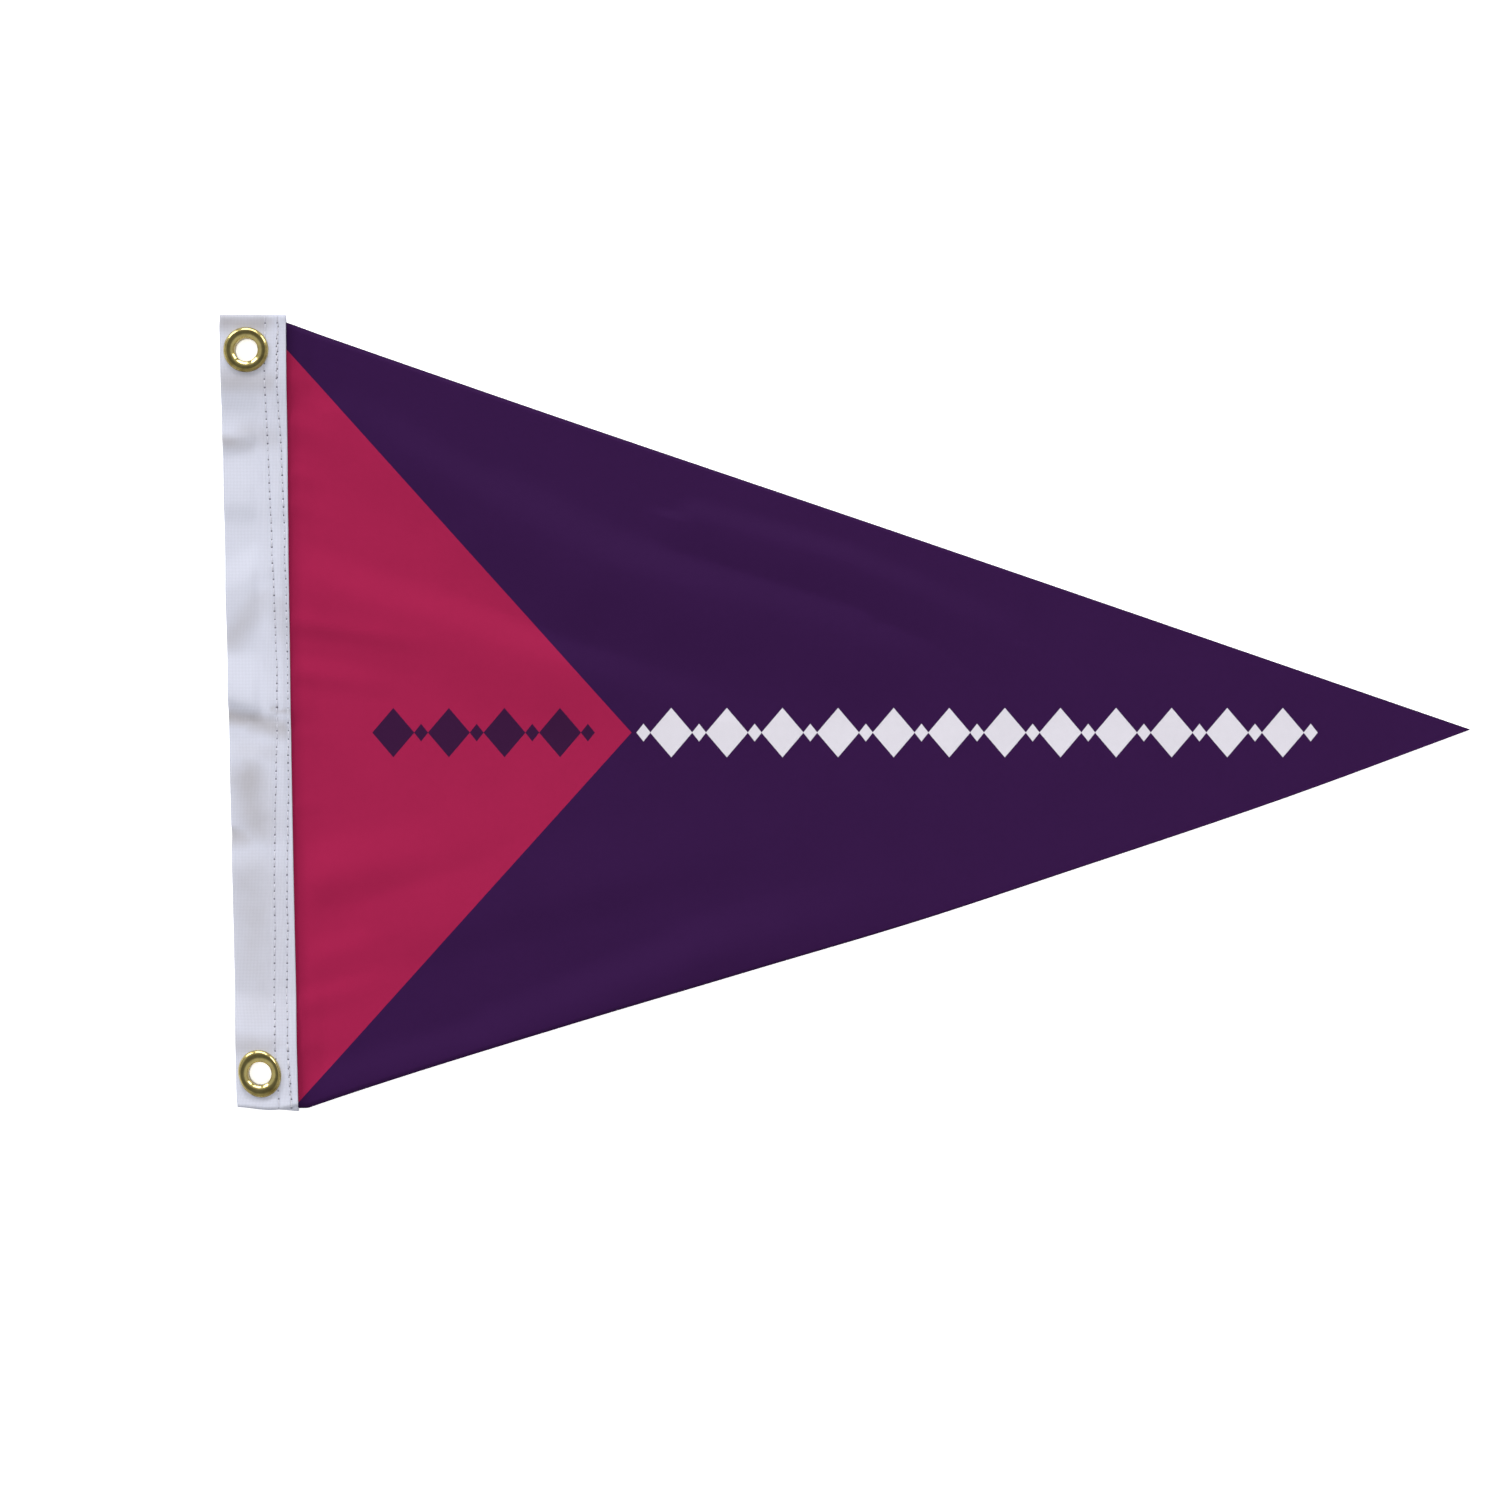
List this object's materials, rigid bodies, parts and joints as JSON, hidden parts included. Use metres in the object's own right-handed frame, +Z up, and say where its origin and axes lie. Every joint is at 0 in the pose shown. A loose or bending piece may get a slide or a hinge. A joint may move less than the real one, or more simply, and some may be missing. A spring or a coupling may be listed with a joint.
{
  "type": "pennant flag",
  "caption": "Triangular two-colour cloth pennant lying flat, with a folded white canvas heading and a round brass eyelet near each of its ends.",
  "frame": {"origin": "middle of the flag's box, on the surface it lies on", "axes": "+X from the heading to the tip of the fly, +Y towards the heading's head end, +Z up out of the flag's face"},
  "size_m": [0.4808, 0.3058, 0.0074],
  "materials": {
    "printed_polyester": "smooth dye-printed polyester, dark purple field with a crimson hoist triangle, slight sheen",
    "white_canvas": "closely woven white polyester canvas, matt",
    "brass": "pressed and polished brass, lightly tarnished"
  },
  "bodies": {
    "root": {"fly": "printed_polyester", "heading": "white_canvas", "eyelet_head": "brass", "washer_head": "brass", "eyelet_foot": "brass", "washer_foot": "brass"}
  },
  "joints": []
}
